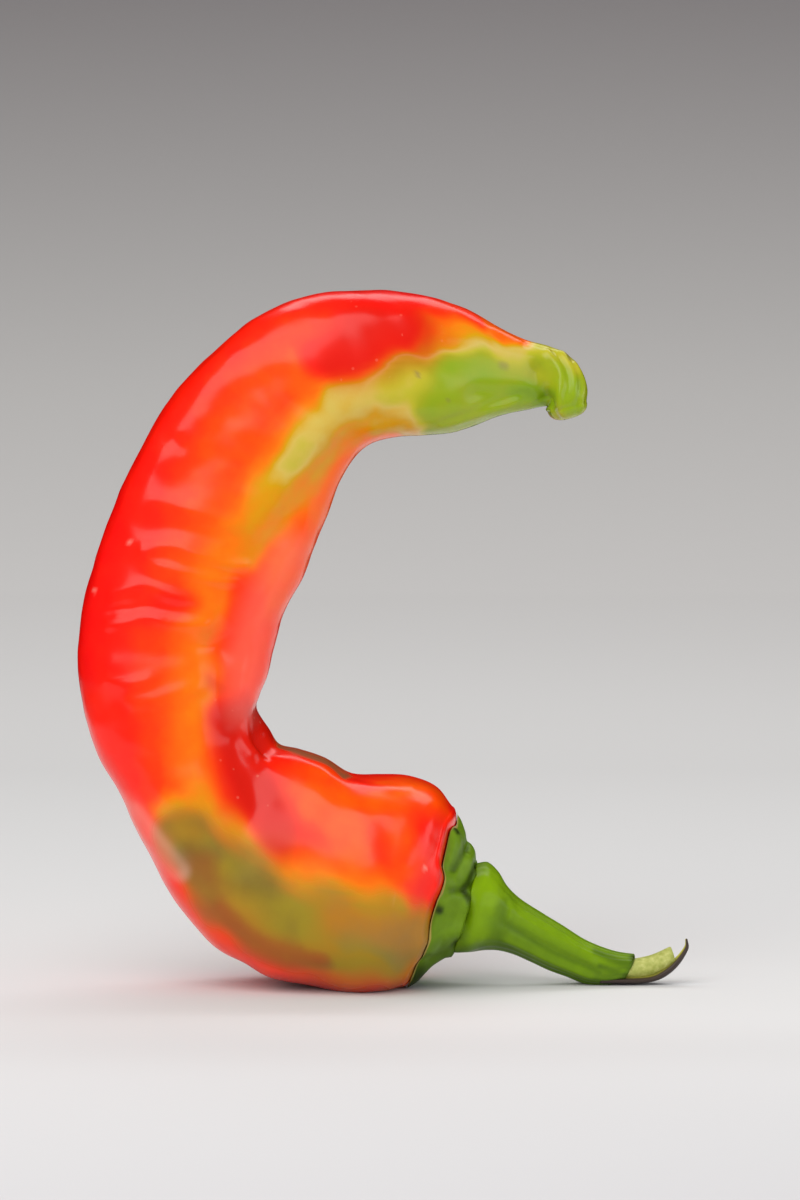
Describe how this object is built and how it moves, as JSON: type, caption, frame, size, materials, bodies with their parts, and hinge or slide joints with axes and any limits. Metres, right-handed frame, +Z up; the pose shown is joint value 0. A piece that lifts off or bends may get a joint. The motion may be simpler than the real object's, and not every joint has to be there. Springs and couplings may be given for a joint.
{
  "type": "chilli pepper",
  "caption": "Ripening chilli pepper curled like a letter C, with a lumpy green calyx and a torn stem, standing on its belly.",
  "frame": {"origin": "centre of the bounding box's base, on the ground that the pepper rests on", "axes": "+Z up, +X from the curl's back towards the stem's end, +Y from the pepper's front to its back"},
  "size_m": [0.1224, 0.0458, 0.1391],
  "materials": {
    "pod_skin": "waxy gloss, red turning orange, yellow and olive",
    "calyx_green": "satin dark green",
    "stem_green": "satin bright green"
  },
  "bodies": {
    "root": {"pod": "pod_skin", "calyx": "calyx_green", "stem": "stem_green"}
  },
  "joints": []
}
